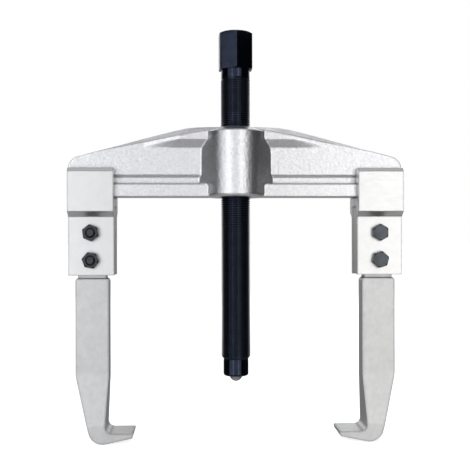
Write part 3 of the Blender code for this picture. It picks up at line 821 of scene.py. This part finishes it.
def steel(name, colour, dark, finish):
    """Bare or plated steel. dark is the colour of its pores and of the painted shade in its corners. Its
    outer edges turn to the finish's edge colour: lighter than the faces on a dark steel, as wear, and
    darker on a bright one, as painted shade."""
    corner_shade_share = 0.75
    lump_depth, grain_depth = 0.25 * MM, 0.1 * MM
    material = bpy.data.materials.new(name)
    material.use_nodes = True
    tree = material.node_tree
    shader = tree.nodes["Principled BSDF"]
    where = add(tree, "ShaderNodeTexCoord").outputs["Object"]

    cloud = noise_of(tree, where, finish["cloud_scale"], 4.0)
    pores = noise_of(tree, where, finish["pore_scale"], 2.0)
    grain = noise_of(tree, where, finish["grain_scale"], 3.0, finish["grain_stretch"])

    bright = tuple(min(c * (1 + finish["mottle"]), 1.0) for c in colour)
    dull = tuple(c * (1 - finish["mottle"]) for c in colour)
    # Noise keeps near 0.5, so each range below takes the span that it fills.
    tone = mixed(tree, ranged(tree, cloud, 0.35, 0.65, 0.0, 1.0), dull, bright)
    pore = ranged(tree, pores, 0.60, 0.75, 0.0, finish["pores"])
    tone = mixed(tree, pore, tone, dark)
    # Painted shade: corners and gaps, found by ambient occlusion, darken towards the dark colour.
    corners = ranged(tree, corner_shade_mask(tree, finish["corner_shade_reach"]), 0, 1, 0, corner_shade_share)
    tone = mixed(tree, corners, tone, dark)
    # Edges take the edge colour: lighter wear on the dark steels, a darker painted shade on the bright
    # ones.
    edges = ranged(tree, edge_mask(tree, finish["edge"]), 0, 1, 0, finish["edge_wear_and_shade_share"])
    tone = mixed(tree, edges, tone, finish["edge_wear_and_shade_colour"])
    tree.links.new(tone, shader.inputs["Base Color"])

    low, high = finish["roughness"]
    tree.links.new(ranged(tree, grain, 0.3, 0.7, low, high), shader.inputs["Roughness"])
    shader.inputs["Metallic"].default_value = 1.0

    lumps = add(
        tree,
        "ShaderNodeBump",
        {"Height": cloud, "Strength": finish["lumps"], "Distance": lump_depth},
    )
    fine = add(
        tree,
        "ShaderNodeBump",
        {
            "Height": grain,
            "Strength": finish["grain"],
            "Distance": grain_depth,
            "Normal": lumps.outputs[0],
        },
    )
    tree.links.new(fine.outputs[0], shader.inputs["Normal"])
    return material


# Scales are per metre. mottle, pores and edge_wear_and_shade_share are shares of colour,
# corner_shade_reach and edge are the reach of the painted shade in corners and of the edge colour
# on edges, and lumps and grain are the strengths of the relief.
# FORGED, SATIN and BLASTED darken their edges as painted shade; OXIDE lightens them as wear.
FORGED = {
    "cloud_scale": 620,
    "pore_scale": 900,
    "grain_scale": 1500,
    "grain_stretch": (1, 1, 1),
    "mottle": 0.06,
    "pores": 0.22,
    "corner_shade_reach": 3 * MM,
    "edge": 0.8 * MM,
    "edge_wear_and_shade_share": 0.30,
    "edge_wear_and_shade_colour": (0.42, 0.42, 0.44),
    "roughness": (0.27, 0.38),
    "lumps": 0.8,
    "grain": 0.5,
}
SATIN = FORGED | {
    "cloud_scale": 160,
    "grain_scale": 1800,
    "grain_stretch": (0.12, 1, 1),
    "mottle": 0.02,
    "pores": 0.04,
    "lumps": 0.06,
    "grain": 0.12,
    "corner_shade_reach": 1.5 * MM,
    "edge": 1.5 * MM,
    "edge_wear_and_shade_share": 0.8,
    "edge_wear_and_shade_colour": (0.26, 0.26, 0.27),
    "roughness": (0.30, 0.40),
}
BLASTED = FORGED | {
    "cloud_scale": 260,
    "grain_scale": 2200,
    "mottle": 0.04,
    "pores": 0.10,
    "lumps": 0.12,
    "grain": 0.25,
    "corner_shade_reach": 1.5 * MM,
    "edge": 2.2 * MM,
    "edge_wear_and_shade_share": 0.8,
    "edge_wear_and_shade_colour": (0.24, 0.24, 0.25),
    "roughness": (0.36, 0.48),
}
OXIDE = FORGED | {
    "cloud_scale": 220,
    "grain_scale": 1600,
    "mottle": 0.15,
    "pores": 0.10,
    "lumps": 0.02,
    "grain": 0.05,
    "corner_shade_reach": 1.0 * MM,
    "edge": 0.4 * MM,
    "edge_wear_and_shade_share": 0.35,
    "edge_wear_and_shade_colour": (0.10, 0.105, 0.12),
    "roughness": (0.13, 0.21),
}


# ---------------------------------------------------------------- room, light and camera


def make_world():
    """A white backdrop, and round the object a dim room, lighter above, below and behind."""
    above, below, behind, everywhere = 0.55, 0.42, 0.30, 0.03
    world = bpy.data.worlds.new("studio")
    SCENE.world = world
    world.use_nodes = True
    tree = world.node_tree
    background = tree.nodes["Background"]
    where = add(tree, "ShaderNodeTexCoord").outputs["Generated"]
    axes = add(tree, "ShaderNodeSeparateXYZ", {0: where})
    up = ranged(tree, axes.outputs["Z"], 0.35, 0.95, 0.0, above)
    down = ranged(tree, axes.outputs["Z"], -0.35, -0.95, 0.0, below)
    back = ranged(tree, axes.outputs["Y"], 0.70, 0.95, 0.0, behind)
    total = add(tree, "ShaderNodeMath", {0: up, 1: down}, operation="ADD").outputs[0]
    total = add(tree, "ShaderNodeMath", {0: total, 1: back}, operation="ADD").outputs[0]
    total = add(tree, "ShaderNodeMath", {0: total, 1: everywhere}, operation="ADD").outputs[0]
    seen = add(tree, "ShaderNodeLightPath").outputs["Is Camera Ray"]
    strength = add(tree, "ShaderNodeMix", {"Factor": seen, "A": total, "B": 1.0}).outputs["Result"]
    tree.links.new(strength, background.inputs["Strength"])
    background.inputs["Color"].default_value = (1.0, 1.0, 1.0, 1.0)


def softbox(name, azimuth, elevation, distance, size, radiance, colour):
    """A softbox that faces the object. Azimuth 0 is behind the camera, and positive is its right.

    Angles are in degrees, and distance and size (width and height) in metres."""
    target = Vector((0, 0, 0.14))
    turn, rise = math.radians(azimuth), math.radians(elevation)
    towards = Vector((math.sin(turn) * math.cos(rise), -math.cos(turn) * math.cos(rise), math.sin(rise)))
    light = bpy.data.lights.new(name, "AREA")
    light.shape = "RECTANGLE"
    light.size, light.size_y = size
    light.energy = radiance * math.pi * size[0] * size[1]
    light.color = colour
    obj = make_object(name, light)
    obj.location = target + towards * distance
    obj.rotation_euler = (-towards).to_track_quat("-Z", "Y").to_euler()


def make_floor():
    """A white table that gives off some light. The steel doesn't mirror it, and it casts no shadow."""
    half = 20.0
    bm = bmesh.new()
    corners = [(-half, -half), (half, -half), (half, half), (-half, half)]
    bm.faces.new([bm.verts.new((x, y, 0)) for x, y in corners])
    floor = make_object("light_table", make_mesh("light_table", bm))
    material = bpy.data.materials.new("white_acrylic")
    material.use_nodes = True
    shader = material.node_tree.nodes["Principled BSDF"]
    shader.inputs["Base Color"].default_value = (0.9, 0.9, 0.9, 1)
    shader.inputs["Roughness"].default_value = 0.9
    shader.inputs["Specular IOR Level"].default_value = 0.0
    shader.inputs["Emission Color"].default_value = (1, 1, 1, 1)
    shader.inputs["Emission Strength"].default_value = 0.75
    floor.data.materials.append(material)
    floor.visible_glossy = False
    floor.visible_shadow = False


def make_camera():
    """A camera in front of the object, level, a little to its left and turned a little right."""
    place = (-27 * MM, -548 * MM, 136.3 * MM)
    data = bpy.data.cameras.new("camera")
    data.lens = 61.43
    data.sensor_width = 36.0
    data.shift_x = 0.0140
    data.shift_y = 0.0098
    camera = make_object("camera", data)
    turn = Matrix.Rotation(math.radians(-2.3), 4, "Z")
    level = Matrix.Rotation(math.pi / 2, 4, "X")
    roll = Matrix.Rotation(math.radians(-0.12), 4, "Z")
    look = turn @ level @ roll
    camera.matrix_world = Matrix.Translation(place) @ look
    SCENE.camera = camera


# ---------------------------------------------------------------- the whole


def make_lights():
    """Two large softboxes in front, a brighter strip on each of them, and two smaller ones behind."""
    cool, warm = (0.97, 0.98, 1.0), (1.0, 0.995, 0.985)
    softbox("softbox_left", -33, 1, 1.1, (1.32, 1.35), 1.00, cool)
    softbox("softbox_right", 22, 1, 1.1, (0.86, 1.35), 1.00, warm)
    softbox("strip_left", -28, 1, 1.05, (0.09, 1.40), 2.9, cool)
    softbox("strip_right", 21, 1, 1.05, (0.09, 1.40), 2.4, warm)
    softbox("softbox_rear_left", -150, 25, 1.3, (0.9, 0.9), 1.3, cool)
    softbox("softbox_rear_right", 150, 25, 1.3, (0.9, 0.9), 1.1, cool)


def main():
    make_camera()
    make_world()
    SCENE.view_settings.view_transform = "Standard"
    make_floor()
    make_lights()

    # Each steel's colour, the colour of its pores and of the painted shade in its corners, and its
    # finish.
    forging = steel("forged_plated_steel", (0.74, 0.74, 0.76), (0.20, 0.20, 0.21), FORGED)
    clamp = steel("satin_clamp_steel", (0.73, 0.73, 0.73), (0.20, 0.20, 0.20), SATIN)
    leg = steel("blasted_leg_steel", (0.58, 0.58, 0.58), (0.14, 0.14, 0.145), BLASTED)
    oxide = steel("black_oxide_steel", (0.028, 0.035, 0.056), (0.006, 0.007, 0.011), OXIDE)
    ball = steel("hardened_ball_steel", (0.42, 0.43, 0.45), (0.1, 0.1, 0.1), SATIN)
    gunmetal = steel("gunmetal_bolts", (0.058, 0.064, 0.072), (0.016, 0.018, 0.022), OXIDE)

    crossbeam = make_crossbeam(forging)
    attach(crossbeam, "beam")
    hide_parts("crossbeam")

    spindle = make_spindle(oxide)
    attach(spindle, "screw")
    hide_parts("spindle")

    tip = make_ball(ball)
    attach(tip, "tip")
    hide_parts("pressure_ball")

    meshes = {"leg": leg_mesh(), "clamp": clamp_mesh(), "bolt": bolt_mesh(), "nut": nut_mesh()}
    for name, material in (("leg", leg), ("clamp", clamp), ("bolt", gunmetal), ("nut", gunmetal)):
        meshes[name].materials.clear()
        meshes[name].materials.append(material)
    for side in ("left", "right"):
        make_arm(side, meshes)


main()
